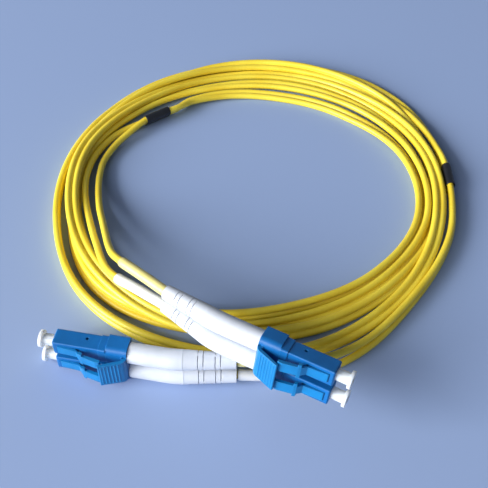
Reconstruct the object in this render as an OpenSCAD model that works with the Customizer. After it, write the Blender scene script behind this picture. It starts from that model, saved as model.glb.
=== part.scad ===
// Duplex fibre optic patch cord: two twin plugs with latches, caps and boots, joined by a coiled zip cord.
// Each plug is drawn in its own frame: X forward (insertion), Y across the pair, Z toward the latch side.
// The frame's origin is midway between the two fibre axes, on the front faces of the noses.

/* [Plug housing] */
// Distance between the two fibre axes
pitch = 6.25; // [6.2:0.01:6.3]
// Side of the square nose
nose_w = 4.52; // [4.4:0.01:4.6]
// Length of the nose, front face to rim
nose_l = 11.7; // [11:0.1:12.5]
// Corner radius along the nose
nose_round = 0.35; // [0.1:0.05:0.6]
// Depth of the chamfer round the front face
nose_chamfer = 0.25; // [0.1:0.05:0.4]
// Side of the square rim behind the nose
rim_w = 4.95; // [4.7:0.05:5.1]
// Length of the rim
rim_l = 1.85; // [1.2:0.05:2.2]
// Side of the square tail held inside the clip
tail_w = 4.2; // [4:0.05:4.3]
// Length of that tail
tail_l = 4.85; // [4.4:0.05:5]
// Radius of the front recess that takes the alignment sleeve
recess_r = 1.53; // [1.5:0.01:1.6]
// Depth of the front recess
recess_l = 4.4; // [4:0.1:4.8]
// Thickness of the wall behind the recess
wall_t = 0.85; // [0.6:0.05:1]
// Radius of the chamber for spring and seat
chamber_r = 1.75; // [1.7:0.01:1.85]
// Radius of the round hole in the outer side of the nose
side_hole_r = 0.4; // [0.25:0.05:0.5]
// Distance of the side hole behind the front face
side_hole_x = 8.3; // [7:0.1:9.5]

/* [Ferrule, seat and spring] */
// Diameter of the ferrule
ferrule_d = 1.249; // [1.24:0.001:1.25]
// How far the ferrule stands out of the nose
ferrule_out = 1.95; // [1.4:0.05:2.2]
// Overall length of the ferrule
ferrule_l = 11.2; // [10:0.1:12]
// Diameter of the fibre hole in the ferrule
fibre_d = 0.126; // [0.125:0.001:0.2]
// Radius of the seat's hub
hub_r = 1.6; // [1.4:0.05:1.65]
// Length of the seat's hub
hub_l = 1.6; // [1.2:0.1:2]
// Radius of the seat's front spigot in the wall
spigot_r = 0.95; // [0.85:0.01:0.97]
// Radius of the seat's long stem
stem_r = 0.9; // [0.8:0.05:0.92]
// How far the stem's end lies behind the front face
stem_end = 14.5; // [14:0.1:15.5]
// Radius of the spring wire
wire_r = 0.16; // [0.12:0.01:0.2]
// Mean radius of the spring
spring_r = 1.3; // [1.2:0.01:1.4]
// Number of turns of the spring
spring_turns = 5.5; // [4:0.5:7]
// Rearward travel kept free for the ferrule
ferrule_travel = 1; // [0.6:0.1:1.2]

/* [Back body and crimp ring] */
// Distance of the back body's front end behind the front face
back_x = 13; // [12.6:0.1:13.4]
// Radius of the back body's bore for the stem
back_bore_r = 0.98; // [0.96:0.01:1.05]
// Radius of the collar at the housing's rear face
collar_r = 2; // [1.9:0.05:2.08]
// Radius of the nipple under the crimp ring
nipple_r = 1.2; // [1.1:0.05:1.22]
// Distance of the nipple's end behind the front face
nipple_end = 25; // [24:0.1:26]
// Outside radius of the crimp ring
crimp_r = 1.72; // [1.6:0.01:1.75]
// Length of the crimp ring
crimp_l = 7.9; // [7:0.1:8.2]

/* [Latch arm] */
// Width of the arm's root pad
arm_w = 2.4; // [2:0.1:2.6]
// Width of the two shoulders that catch in the adapter
shoulder_w = 4.1; // [3.8:0.1:4.3]
// Width of the arm's tail
arm_tail_w = 2.7; // [2.2:0.1:3]
// Thickness of the arm
arm_t = 0.75; // [0.6:0.05:0.8]
// Distance of the arm's pivot behind the front face
arm_pivot_x = 1.6; // [1.5:0.05:1.8]
// Height of the arm's pivot over the fibre axis
arm_pivot_z = 2.2; // [2.15:0.01:2.25]
// Radius of the arm's round root
arm_root_r = 0.4; // [0.3:0.01:0.42]
// Distance of the shoulders behind the front face
shoulder_x = 8; // [7.6:0.1:8.4]
// Height of the shoulders' top over the fibre axis
shoulder_z = 4.3; // [4.1:0.05:4.4]
// Distance of the arm's tail end behind the front face
arm_end_x = 12.9; // [12.5:0.1:13]
// Height of the tail end's top over the fibre axis
arm_end_z = 5.15; // [5:0.05:5.2]
// Clearance between the arm and its pocket
arm_gap = 0.1; // [0.05:0.01:0.2]
// Height of the pocket floor over the fibre axis
pocket_z = 1.9; // [1.85:0.01:1.95]

/* [Duplex clip] */
// Width of the clip across the pair
clip_w = 12; // [11.8:0.1:12.6]
// Length of the clip along the plugs
clip_l = 5.35; // [5:0.05:5.5]
// Distance of the clip's underside below the fibre axes
clip_under = 2.7; // [2.6:0.05:3]
// Height of the clip's top over the fibre axes
clip_top = 2.5; // [2.45:0.05:2.7]
// Radius of the clip's two top corners
clip_round = 1.6; // [1:0.1:2]
// Clearance between a plug's tail and its window
window_gap = 0.02; // [0.01:0.01:0.05]
// Width of the relief slot between the two windows
relief_w = 1; // [0.6:0.1:1.4]

/* [Trigger] */
// Width of the trigger paddle
trigger_w = 8.2; // [7.6:0.1:8.6]
// Distance of the trigger's hinge line behind the front face
hinge_x = 18.3; // [18.2:0.05:18.4]
// Height of the hinge line over the fibre axes
hinge_z = 2.9; // [2.85:0.05:3]
// Radius of the trigger's round root
hinge_r = 0.5; // [0.45:0.01:0.52]
// Running clearance of the root in its seat
hinge_gap = 0.03; // [0.02:0.01:0.05]
// Distance of the paddle's free edge behind the front face
paddle_x = 12.4; // [12.3:0.05:12.6]
// Height of the paddle's free edge
paddle_z = 6.2; // [6.1:0.05:6.4]
// Thickness of the paddle
paddle_t = 0.7; // [0.6:0.05:0.75]
// Number of grip ribs
rib_n = 6; // [3:1:7]
// Radius of a grip rib
rib_r = 0.24; // [0.15:0.01:0.3]

/* [Boot] */
// Radius of the boot's straight front
boot_r = 2.65; // [2.4:0.05:2.8]
// Radius of the boot at its tail
boot_tail_r = 1.95; // [1.7:0.05:2.2]
// Length of the straight front
boot_front_l = 8.4; // [8.2:0.1:9]
// Length of the tapered tail
boot_tail_l = 13; // [11:0.5:15]
// Radius of the bend between front and tail
boot_bend_r = 30; // [20:1:60]
// Radius of the bore over the crimp ring
boot_socket_r = 1.78; // [1.76:0.01:1.9]
// Radius of the bore over the cord
boot_bore_r = 1.15; // [1.1:0.01:1.25]
// Width of a flex slit
slit_w = 0.2; // [0.12:0.02:0.3]
// Depth of a flex slit
slit_d = 0.5; // [0.3:0.05:0.6]

/* [Dust cap] */
// Radius of the cap's flange
cap_flange_r = 2.2; // [2:0.05:2.4]
// Thickness of the cap's flange
cap_flange_t = 0.8; // [0.6:0.05:1]
// Distance of the flange's outer face ahead of the nose
cap_out = 3.9; // [3.6:0.1:4.4]
// Radius of the cap's shaft
cap_shaft_r = 1.475; // [1.45:0.005:1.5]
// How far the shaft reaches into the nose
cap_in = 3.2; // [2.5:0.1:3.3]
// Radius of the cap's bore over the ferrule
cap_bore_r = 0.65; // [0.64:0.005:0.7]

/* [Cord] */
// Diameter of one cord leg
leg_d = 2; // [1.8:0.1:2.1]
// Distance between the two strands of the zip cord
zip_pitch = 2.06; // [2.05:0.01:2.2]
// Outside diameter of the marker sleeves
sleeve_d = 2.8; // [2.6:0.1:3]
// Inside diameter of the marker sleeves
sleeve_bore = 2.08; // [2.06:0.01:2.2]
// Length of the split bands
band_l = 8.5; // [7:0.5:10]
// Wide outside dimension of the split bands
band_w = 4.8; // [4.7:0.1:5.2]
// Narrow outside dimension of the split bands
band_t = 2.8; // [2.7:0.1:3.2]
// Wall of the split bands
band_wall = 0.3; // [0.2:0.05:0.3]

/* [Coil] */
// Inside radius of the coiled cord
coil_in = 50.6; // [46:0.2:60]
// Strands side by side across the coil
coil_strands = 4; // [4:1:4]
// Height of the coil
coil_h = 4.2; // [4:0.1:4.4]

/* [End A pose] */
// Heading of end A's plug
a_yaw = -26.7; // [-28:0.1:-25]
// How far end A's nose dips
a_dip = 2; // [0:0.5:3]
// Turn of end A about its own length
a_roll = 78; // [76:1:80]
// Bend of end A's boots
a_bend = 11.5; // [10:0.5:13]
// Lean of end A's boots toward each other
a_lean = 16.7; // [10:0.1:18]

/* [End B pose] */
// Heading of end B's plug
b_yaw = 169.1; // [168:0.1:170]
// Bend of end B's boots
b_bend = 9.5; // [8:0.5:11]

/* [Hidden] */
$fn = 64;
shift = [12.64, 45.67, 0];
b_roll = -90;
half = pitch / 2;
rim_x = nose_l + rim_l;
tail_x = rim_x + tail_l;
clip_x = rim_x;
clip_end = clip_x + clip_l;
seat_x = recess_l + wall_t + 0.02;
hub_end = seat_x + hub_l;
boot_x = clip_end + 0.05;
bend_x = boot_x + boot_front_l;
leg_r = leg_d / 2;
leg_x = nipple_end + 0.3;
coil_pos = [1.3, 22.3, 0] + shift;
// A place by its heading from the coil's middle, how far it is outside coil_in, and its height.
function by_coil(q) = coil_pos + [(coil_in + q[1]) * cos(q[0]), (coil_in + q[1]) * sin(q[0]), q[2]];
pos_a = by_coil([-76.12, 30.26, 16.2]);
pos_b = by_coil([-127.73, 27.67, 6.02]);
coil_w = coil_strands * 2.05;
blue = [0.12, 0.45, 0.75];
blue_pale = [0.2, 0.56, 0.85];
white = [0.94, 0.95, 0.97];
yellow = [0.96, 0.84, 0.22];
pale_yellow = [0.97, 0.93, 0.66];
steel = [0.72, 0.73, 0.75];
black = [0.09, 0.09, 0.11];

// ---- frames of the two ends ----
function rx(a, p) = [p.x, p.y * cos(a) - p.z * sin(a), p.y * sin(a) + p.z * cos(a)];
function ry(a, p) = [p.x * cos(a) + p.z * sin(a), p.y, -p.x * sin(a) + p.z * cos(a)];
function rz(a, p) = [p.x * cos(a) - p.y * sin(a), p.x * sin(a) + p.y * cos(a), p.z];
function to_a(p) = pos_a + rz(a_yaw, ry(a_dip, rx(a_roll, p)));
function to_b(p) = pos_b + rz(b_yaw, rx(b_roll, p));

module end_a() translate(pos_a) rotate([0, 0, a_yaw]) rotate([0, a_dip, 0]) rotate([a_roll, 0, 0]) children();
module end_b() translate(pos_b) rotate([0, 0, b_yaw]) rotate([b_roll, 0, 0]) children();

// ---- helpers ----
// A 2D section (across, up) drawn from x0 back to x1.
module bar(x0, x1) translate([-x1, 0, 0]) rotate([90, 0, 90]) linear_extrude(x1 - x0) children();
// A round rod along the plug, from x0 back to x1.
module rod(x0, x1, r) translate([-x1, 0, 0]) rotate([0, 90, 0]) cylinder(h = x1 - x0, r = r);
// A side profile (forward, up) of width w.
module slab(w) translate([0, w / 2, 0]) rotate([90, 0, 0]) linear_extrude(w) children();
// A round rod across the plug.
module cross_rod(x, z, r, w) translate([-x, w / 2, z]) rotate([90, 0, 0]) cylinder(h = w, r = r);

module rounded(w, h, r) {
    square([w - 2 * r, h], center = true);
    square([w, h - 2 * r], center = true);
    for (i = [-1, 1], j = [-1, 1])
        translate([i * (w / 2 - r), j * (h / 2 - r)]) circle(r);
}

module side_of(s) translate([0, s * half, 0]) children();

// ---- rigid pieces of one end ----
module plug(s) color(blue) side_of(s) difference() {
    union() {
        translate([-nose_chamfer, 0, 0]) rotate([0, 90, 0]) rotate([0, 0, 45])
            cylinder(h = nose_chamfer, r1 = nose_w / 2 * sqrt(2) - nose_round * 0.55,
                     r2 = (nose_w / 2 - nose_chamfer) * sqrt(2), $fn = 4);
        bar(nose_chamfer, nose_l) rounded(nose_w, nose_w, nose_round);
        bar(nose_l, rim_x) rounded(rim_w, rim_w, 0.5);
        bar(rim_x, tail_x) rounded(tail_w, tail_w, 0.4);
    }
    rod(-1, recess_l, recess_r);
    rod(recess_l - 0.1, seat_x, 1);
    rod(recess_l + wall_t, tail_x + 1, chamber_r);
    // pocket and round seat of the latch arm
    translate([-shoulder_x + 1.1, -arm_w / 2 - arm_gap, pocket_z])
        cube([shoulder_x - 1.1 - arm_pivot_x + arm_root_r + 0.1, arm_w + 2 * arm_gap, 2]);
    cross_rod(arm_pivot_x, arm_pivot_z, arm_root_r + 0.03, arm_w + 2 * arm_gap);
    // round hole in the outer side wall
    translate([-side_hole_x, s * (nose_w / 2 - 0.7), -0.6]) rotate([-s * 90, 0, 0])
        cylinder(h = 2, r = side_hole_r);
}

module latch(s) color(blue_pale) side_of(s) {
    slab(arm_w) polygon([
        [-arm_pivot_x, arm_pivot_z + arm_root_r], [-arm_pivot_x, arm_pivot_z - 0.15],
        [-5.9, arm_pivot_z + 0.1], [-shoulder_x + 0.4, shoulder_z - arm_t - 0.2],
        [-shoulder_x, shoulder_z - arm_t], [-shoulder_x, shoulder_z], [-shoulder_x + 0.6, shoulder_z - 0.25],
        [-6.25, 3]
    ]);
    cross_rod(arm_pivot_x, arm_pivot_z, arm_root_r, arm_w);
    slab(shoulder_w) polygon([
        [-shoulder_x + 0.6, shoulder_z - 0.25], [-shoulder_x + 0.6, shoulder_z - arm_t - 0.35],
        [-shoulder_x - 0.2, shoulder_z - arm_t + 0.05], [-shoulder_x - 0.2, shoulder_z + 0.03],
        [-shoulder_x, shoulder_z]
    ]);
    slab(arm_tail_w) polygon([
        [-shoulder_x, shoulder_z], [-shoulder_x, shoulder_z - arm_t],
        [-arm_end_x, arm_end_z - arm_t], [-arm_end_x, arm_end_z - 0.15],
        [-arm_end_x + 0.3, arm_end_z], [-arm_end_x + 1.2, arm_end_z]
    ]);
}

module clip() color(blue) difference() {
    union() {
        bar(clip_x, clip_end) {
            translate([0, (clip_top - clip_under) / 2])
                square([clip_w - 2 * clip_round, clip_top + clip_under], center = true);
            translate([-clip_w / 2, -clip_under + 0.4]) square([clip_w, clip_top + clip_under - clip_round - 0.4]);
            translate([-clip_w / 2 + 0.4, -clip_under]) square([clip_w - 0.8, 1]);
            for (i = [-1, 1]) {
                translate([i * (clip_w / 2 - clip_round), clip_top - clip_round]) circle(clip_round);
                translate([i * (clip_w / 2 - 0.4), -clip_under + 0.4]) circle(0.4);
            }
        }
        // ridge that carries the trigger's hinge
        translate([-clip_end, -trigger_w / 2 - 0.2, clip_top - 0.5])
            cube([clip_end - hinge_x + 0.75, trigger_w + 0.4, hinge_z - 0.1 - clip_top + 0.5]);
    }
    for (s = [-1, 1]) side_of(s)
        bar(clip_x - 1, clip_end + 1) rounded(tail_w + 2 * window_gap, tail_w + 2 * window_gap, 0.4);
    cross_rod(hinge_x, hinge_z, hinge_r + hinge_gap, trigger_w + 1);
    // relief slots: one from below between the windows, one from the front
    translate([-clip_end + 2, -relief_w / 2, -clip_under - 1]) cube([clip_l, relief_w, 2.4]);
    translate([-clip_x - 1.2, -relief_w / 2, 0.8]) cube([2, relief_w, 3]);
}

module trigger() color(blue) {
    slope = (paddle_z - 4.2) / (17.7 - paddle_x);
    slab(trigger_w) polygon([
        [-paddle_x - 0.35, paddle_z - 0.05], [-paddle_x - 0.35, paddle_z - paddle_t],
        [-17.05, 4.25 - paddle_t], [-17.75, 3.25], [-hinge_x + 0.42, hinge_z],
        [-hinge_x - 0.3, hinge_z], [-hinge_x - 0.3, 3.45], [-18.2, 3.9], [-17.7, 4.2]
    ]);
    cross_rod(paddle_x + 0.35, paddle_z - 0.375, 0.325, trigger_w);
    cross_rod(hinge_x, hinge_z, hinge_r, trigger_w);
    for (k = [0 : rib_n - 1])
        cross_rod(paddle_x + 0.9 + k * 0.78, paddle_z - 0.08 - (0.9 + k * 0.78) * slope, rib_r, trigger_w - 0.9);
}

module ferrule(s) color(white) side_of(s) difference() {
    union() {
        translate([ferrule_out - 0.3, 0, 0]) rotate([0, 90, 0])
            cylinder(h = 0.3, r1 = ferrule_d / 2, r2 = ferrule_d / 2 - 0.18);
        rod(-ferrule_out + 0.3, ferrule_l - ferrule_out, ferrule_d / 2);
    }
    rod(-ferrule_out - 1, ferrule_l, fibre_d / 2);
}

module ferrule_seat(s) color(steel) side_of(s) difference() {
    union() {
        rod(recess_l + 0.1, seat_x, spigot_r);
        rod(seat_x, hub_end, hub_r);
        rod(hub_end, stem_end, stem_r);
    }
    rod(recess_l, ferrule_l - ferrule_out + 0.02, ferrule_d / 2 + 0.005);
    rod(ferrule_l - ferrule_out, stem_end + 1, 0.35);
    // four tool notches in the hub
    for (a = [0 : 90 : 270]) rotate([a, 0, 0])
        translate([-hub_end + 0.5, -0.25, 1.25]) cube([hub_l, 0.5, 1]);
}

// Ring of wire points round the spring's centreline at parameter t (0 to 1).
function spring_ring(t) = let (a = 360 * spring_turns * t, x = -hub_end - wire_r - 0.03
    - t * (back_x - hub_end - 2 * wire_r - 0.06), e = [0, cos(a), sin(a)])
    [for (k = [0 : 5]) [x, 0, 0] + e * (spring_r + wire_r * cos(60 * k)) + [wire_r * sin(60 * k), 0, 0]];

// Closed skin over rings of points, with a fan of triangles at each end.
function middle(r) = [for (q = r) 1 / len(r)] * r;
function skin_faces(m, n) = [for (k = [0 : n - 1]) each let (j = (k + 1) % n, e = (m - 1) * n) concat(
    [[k, j, m * n], [e + j, e + k, m * n + 1]],
    [for (i = [0 : m - 2]) each let (a = i * n, b = a + n)
        [[a + k, b + k, a + j], [a + j, b + k, b + j]]])];
module skin(rings) {
    m = len(rings);
    polyhedron([for (r = rings) each r, middle(rings[0]), middle(rings[m - 1])], skin_faces(m, len(rings[0])));
}

module spring(s) color(steel) side_of(s) {
    m = round(spring_turns * 12) + 1;
    skin([for (i = [0 : m - 1]) spring_ring(i / (m - 1))]);
}

module back_body(s) color(steel) side_of(s) difference() {
    union() {
        rod(back_x, tail_x, chamber_r - 0.05);
        rod(tail_x, clip_end, collar_r);
        rod(clip_end, nipple_end, nipple_r);
        for (k = [0 : 6]) rod(clip_end + 1 + k * 0.7, clip_end + 1.3 + k * 0.7, nipple_r + 0.03);
    }
    rod(back_x - 1, 17, back_bore_r);
    rod(16.9, nipple_end + 1, 0.55);
}

module crimp(s) color(steel) side_of(s) difference() {
    union() {
        rod(boot_x + 0.15, boot_x + 0.15 + crimp_l, crimp_r - 0.06);
        rod(boot_x + 0.15, boot_x + 5.2, crimp_r);
        rod(boot_x + crimp_l - 0.6, boot_x + 0.15 + crimp_l, crimp_r);
    }
    rod(boot_x, boot_x + crimp_l + 1, nipple_r + 0.05);
}

// Strain-relief boot: straight front, bend toward the underside, tapered tail with flex slits.
module boot(s, bend, lean) color(white) side_of(s) rotate([-s * lean, 0, 0]) difference() {
    union() {
        rod(boot_x, bend_x, boot_r);
        boot_bent(bend) {
            circle(boot_r);
            translate([0, 0, -0.3]) cylinder(h = boot_tail_l + 0.3, r1 = boot_r - 0.02, r2 = boot_tail_r);
        }
    }
    rod(boot_x - 1, bend_x - 0.1, boot_socket_r);
    rod(boot_x, bend_x, boot_bore_r);
    boot_bent(bend) {
        circle(boot_bore_r);
        translate([0, 0, -0.3]) cylinder(h = boot_tail_l + 1.3, r = boot_bore_r + 0.03);
    }
    boot_tail(bend) for (k = [0 : 3])
        translate([0, 0, boot_tail_l - [9.4, 8.1, 5.2, 3.9][k]]) difference() {
            cylinder(h = slit_w, r = 4);
            translate([0, 0, -1]) cylinder(h = 3, r = [2.45, 2.38, 2.22, 2.15][k] - slit_d);
            rotate([0, 0, k % 2 * 90]) translate([-0.3, -5, -1]) cube([0.6, 10, 3]);
        }
}

// The bend's section, then the tail, both from the bend's start.
module boot_bent(bend) {
    translate([-bend_x, 0, -boot_bend_r]) rotate([90, -90, 0])
        rotate_extrude(angle = bend) translate([boot_bend_r, 0]) children(0);
    boot_tail(bend) children(1);
}

module boot_tail(bend)
    translate([-bend_x - boot_bend_r * sin(bend), 0, -boot_bend_r * (1 - cos(bend))])
        rotate([0, -90 - bend, 0]) children();

module cap(s) color(white) side_of(s) difference() {
    union() {
        rod(-cap_out, cap_flange_t - cap_out, cap_flange_r);
        rod(-cap_out + cap_flange_t, cap_in, cap_shaft_r);
    }
    rod(-ferrule_out - 0.75, cap_in + 1, cap_bore_r);
    // shallow round dish in the outer face
    rod(-cap_out - 1, 0.25 - cap_out, 1.1);
}

// ---- cord ----
// Points of a boot's centreline in the plug frame, from inside the crimp ring to the tail.
function bend_pt(s, bend, lean, t) = [-bend_x - boot_bend_r * sin(t),
    s * (half - boot_bend_r * (1 - cos(t)) * sin(lean)), -boot_bend_r * (1 - cos(t)) * cos(lean)];
function tail_pt(s, bend, lean, d) = bend_pt(s, bend, lean, bend)
    + d * [-cos(bend), -s * sin(bend) * sin(lean), -sin(bend) * cos(lean)];
function boot_path(s, bend, lean) = [[-leg_x, s * half, 0], bend_pt(s, bend, lean, 0),
    bend_pt(s, bend, lean, bend), tail_pt(s, bend, lean, boot_tail_l / 2),
    tail_pt(s, bend, lean, boot_tail_l + 0.05)];

// Smooth curve through hand-placed points, n steps a span.
function curve_pt(p, i, t) = let (a = p[max(i - 1, 0)], b = p[i], c = p[i + 1], d = p[min(i + 2, len(p) - 1)])
    0.5 * ((2 * b) + (c - a) * t + (2 * a - 5 * b + 4 * c - d) * t * t + (3 * b - a - 3 * c + d) * t * t * t);
function curve(p, n) = [for (i = [0 : len(p) - 2], k = [0 : n - 1]) curve_pt(p, i, k / n), p[len(p) - 1]];
function unit(v) = v / norm(v);
function heading(p, i) = unit(p[min(i + 1, len(p) - 1)] - p[max(i - 1, 0)]);
function across(h) = unit(cross(h, [0, 0, 1]));

// Ring of a cord section round point c, with the section's wide axis turned by bank.
function ring(c, h, bank, sec) = let (o = across(h), u = cross(o, h),
    e = o * cos(bank) + u * sin(bank), f = u * cos(bank) - o * sin(bank))
    [for (q = sec) c + e * q.x + f * q.y];
function round_sec(r) = [for (k = [0 : 7]) r * [cos(45 * k), sin(45 * k)]];
function zip_half(g) = [for (q = [[1, 0], [0.71, 0.71], [0, 1], [-0.71, 0.71]])
    g * [zip_pitch / 2 + leg_r * q.x, leg_r * q.y]];
zip_sec = concat(zip_half(1), [[0, 0.4]], [for (k = [3 : -1 : 0]) [-zip_half(1)[k].x, zip_half(1)[k].y]],
    [for (k = [1 : 3]) zip_half(-1)[k]], [[0, -0.4]],
    [for (k = [3 : -1 : 1]) [-zip_half(-1)[k].x, zip_half(-1)[k].y]]);

module tube(p, sec, bank)
    skin([for (i = [0 : len(p) - 1]) ring(p[i], heading(p, i), bank[min(i, len(bank) - 1)], sec)]);

leg_a1_way = [for (q = [[-126.41, 3.82, 18], [-137.2, -0.85, 13], [-150.74, -3.95, 7.2],
    [-163.6, -5.26, 2], [-177.11, -5.04, 1], [167.81, -4.66, 1], [153.03, -5.83, 2.2]]) by_coil(q)];
leg_a2_way = [for (q = [[-126.35, 6.26, 14], [-137.03, 1.19, 9.6], [-150.64, -2.06, 5.2],
    [-163.4, -2.29, 1.3], [-177.3, -1.75, 1], [168.53, -1.83, 1], [153.54, -3.02, 1.3]]) by_coil(q)];
leg_b_way = [[-82.11, 17.85], [-76.43, 18.43], [-69.55, 18.67], [-59.71, 16.22], [-47.83, 12.41],
    [-33.27, 9.92], [-19.7, 9.62], [-7.89, 9.87]];
leg_b1_z = [1.7, 1.3, 1, 1, 1, 1, 1, 1.2];
leg_b2_z = [7.4, 5.6, 3.9, 3.1, 3.06, 3.06, 3.06, 3.3];
band_a_end = by_coil([128.49, -8.82, 2.8]);
band_a_mid = by_coil([134.33, -8.24, 2.8]);
band_a_dir = unit(band_a_end - band_a_mid);
band_b_mid = by_coil([1.99, 9.84, 2.45]);
band_a_bank = 53;
// strand offset from the cord's middle at a split band
function strand(h, bank) = (across(h) * cos(bank) + cross(across(h), h) * sin(bank)) * zip_pitch / 2;

leg_a1 = curve(concat([for (q = boot_path(1, a_bend, a_lean)) to_a(q)], leg_a1_way,
    [for (d = [4.5, 0.1]) band_a_mid - band_a_dir * d + strand(band_a_dir, band_a_bank)]), 2);
leg_a2 = curve(concat([for (q = boot_path(-1, a_bend, a_lean)) to_a(q)], leg_a2_way,
    [for (d = [4.5, 0.1]) band_a_mid - band_a_dir * d - strand(band_a_dir, band_a_bank)]), 2);
leg_b1 = curve(concat([for (q = boot_path(1, b_bend, 0)) to_b(q)],
    [for (k = [0 : 7]) by_coil([leg_b_way[k].x, leg_b_way[k].y, leg_b1_z[k]])],
    [band_b_mid + [0, -0.1, -zip_pitch / 2]]), 2);
leg_b2 = curve(concat([for (q = boot_path(-1, b_bend, 0)) to_b(q)],
    [for (k = [0 : 7]) by_coil([leg_b_way[k].x, leg_b_way[k].y, leg_b2_z[k]])],
    [band_b_mid + [0, -0.1, zip_pitch / 2]]), 2);

module leg(p) color(yellow) tube(p, round_sec(leg_r), [0]);

// Marker sleeve over the leg, from the boot's tail to the next way point.
module sleeve(p, c) color(c) {
    q = [p[8] + 0.2 * heading(p, 8), p[9], p[10]];
    polyhedron([for (i = [0 : 2]) each concat(
        ring(q[i], heading(q, i), 0, round_sec(sleeve_d / 2)),
        ring(q[i], heading(q, i), 0, round_sec(sleeve_bore / 2)))], sleeve_faces(3, 8));
}

// Faces of a hollow tube: each ring holds n outer points, then n inner points.
function sleeve_faces(m, n) = [for (k = [0 : n - 1]) each let (j = (k + 1) % n, e = (m - 1) * 2 * n) concat(
    [[k, j, k + n], [j, j + n, k + n], [e + k, e + k + n, e + j], [e + j, e + k + n, e + j + n]],
    [for (i = [0 : m - 2]) each let (a = i * 2 * n, b = a + 2 * n)
        [[a + k, b + k, a + j], [b + k, b + j, a + j],
         [a + n + k, a + n + j, b + n + k], [b + n + k, a + n + j, b + n + j]]])];

module band(mid, h, bank) color(black) {
    yaw = atan2(h.y, h.x);
    translate(mid) rotate([0, 0, yaw]) rotate([-bank, 0, 0]) rotate([90, 0, 90])
        translate([0, 0, -band_l / 2]) linear_extrude(band_l) difference() {
            rounded(band_w, band_t, band_t / 2 - 0.05);
            rounded(band_w - 2 * band_wall, band_t - 2 * band_wall, 1.04);
        }
}

lead_a_way = [for (q = [[116.32, -9.32, 2.2], [101.55, -9.16, 1.5], [86.37, -7.91, 1.05],
    [67.03, -7.81, 1.05], [45.91, -6.19, 1.05], [24.17, -3.47, 1.05], [6.52, -0.38, 1.05],
    [-6.95, 1.48, 1.05]]) by_coil(q)];
lead_b_way = [for (q = [[6.06, 10.04, 2.4], [11.65, 9.33, 2.2], [16.81, 8.53, 2.1], [23.61, 7.57, 2.1]]) by_coil(q)];

module cord_lead_a() color(yellow)
    tube(concat([band_a_mid, band_a_end], lead_a_way), zip_sec, [53, 53, 35, 15, 0, 0]);
module cord_lead_b() color(yellow)
    tube(concat([band_b_mid], lead_b_way), zip_sec, [90]);

module coil() color(yellow) translate(coil_pos) rotate_extrude() {
    r = 1.08;
    step = (coil_w - 2 * r) / (coil_strands - 1);
    translate([coil_in, 0.6]) square([coil_w, coil_h - r - 0.6]);
    translate([coil_in + 0.6, 0]) square([coil_w - 1.2, 1]);
    translate([coil_in + 0.6, 0.6]) circle(0.6);
    translate([coil_in + coil_w - 0.6, 0.6]) circle(0.6);
    for (k = [0 : coil_strands - 1])
        translate([coil_in + r + k * step, coil_h - r]) circle(r);
}

end_a() plug(1);  // plug_a_1
end_a() plug(-1);  // plug_a_2
end_a() latch(1);  // latch_a_1
end_a() latch(-1);  // latch_a_2
end_a() clip();  // clip_a
end_a() trigger();  // trigger_a
end_a() ferrule(1);  // ferrule_a_1
end_a() ferrule(-1);  // ferrule_a_2
end_a() ferrule_seat(1);  // ferrule_seat_a_1
end_a() ferrule_seat(-1);  // ferrule_seat_a_2
end_a() spring(1);  // spring_a_1
end_a() spring(-1);  // spring_a_2
end_a() back_body(1);  // back_body_a_1
end_a() back_body(-1);  // back_body_a_2
end_a() crimp(1);  // crimp_a_1
end_a() crimp(-1);  // crimp_a_2
end_a() boot(1, a_bend, a_lean);  // boot_a_1
end_a() boot(-1, a_bend, a_lean);  // boot_a_2
end_a() cap(1);  // cap_a_1
end_a() cap(-1);  // cap_a_2
sleeve(leg_a1, pale_yellow);  // sleeve_pale_a
sleeve(leg_a2, white);  // sleeve_white_a
leg(leg_a1);  // leg_a_1
leg(leg_a2);  // leg_a_2
band(band_a_mid, band_a_dir, band_a_bank);  // split_band_a
end_b() plug(1);  // plug_b_1
end_b() plug(-1);  // plug_b_2
end_b() latch(1);  // latch_b_1
end_b() latch(-1);  // latch_b_2
end_b() clip();  // clip_b
end_b() trigger();  // trigger_b
end_b() ferrule(1);  // ferrule_b_1
end_b() ferrule(-1);  // ferrule_b_2
end_b() ferrule_seat(1);  // ferrule_seat_b_1
end_b() ferrule_seat(-1);  // ferrule_seat_b_2
end_b() spring(1);  // spring_b_1
end_b() spring(-1);  // spring_b_2
end_b() back_body(1);  // back_body_b_1
end_b() back_body(-1);  // back_body_b_2
end_b() crimp(1);  // crimp_b_1
end_b() crimp(-1);  // crimp_b_2
end_b() boot(1, b_bend, 0);  // boot_b_1
end_b() boot(-1, b_bend, 0);  // boot_b_2
end_b() cap(1);  // cap_b_1
end_b() cap(-1);  // cap_b_2
sleeve(leg_b2, pale_yellow);  // sleeve_pale_b
sleeve(leg_b1, white);  // sleeve_white_b
leg(leg_b1);  // leg_b_1
leg(leg_b2);  // leg_b_2
band(band_b_mid, [0, 1, 0], 90);  // split_band_b
cord_lead_a();
cord_lead_b();
coil();
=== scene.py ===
"""Looks of a duplex fibre patch cord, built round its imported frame.

The frame gives every rigid part of the two duplex connectors. This script adds the
free cords, their marker sleeves and split bands, dresses every surface in the
material that the real part is made of, and sets the floor, the light and the camera.
"""

import logging
import math
from collections.abc import Callable
from dataclasses import dataclass, field
from enum import Enum

import bmesh
import bpy
import numpy as np
from mathutils import Matrix, Vector


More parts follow.
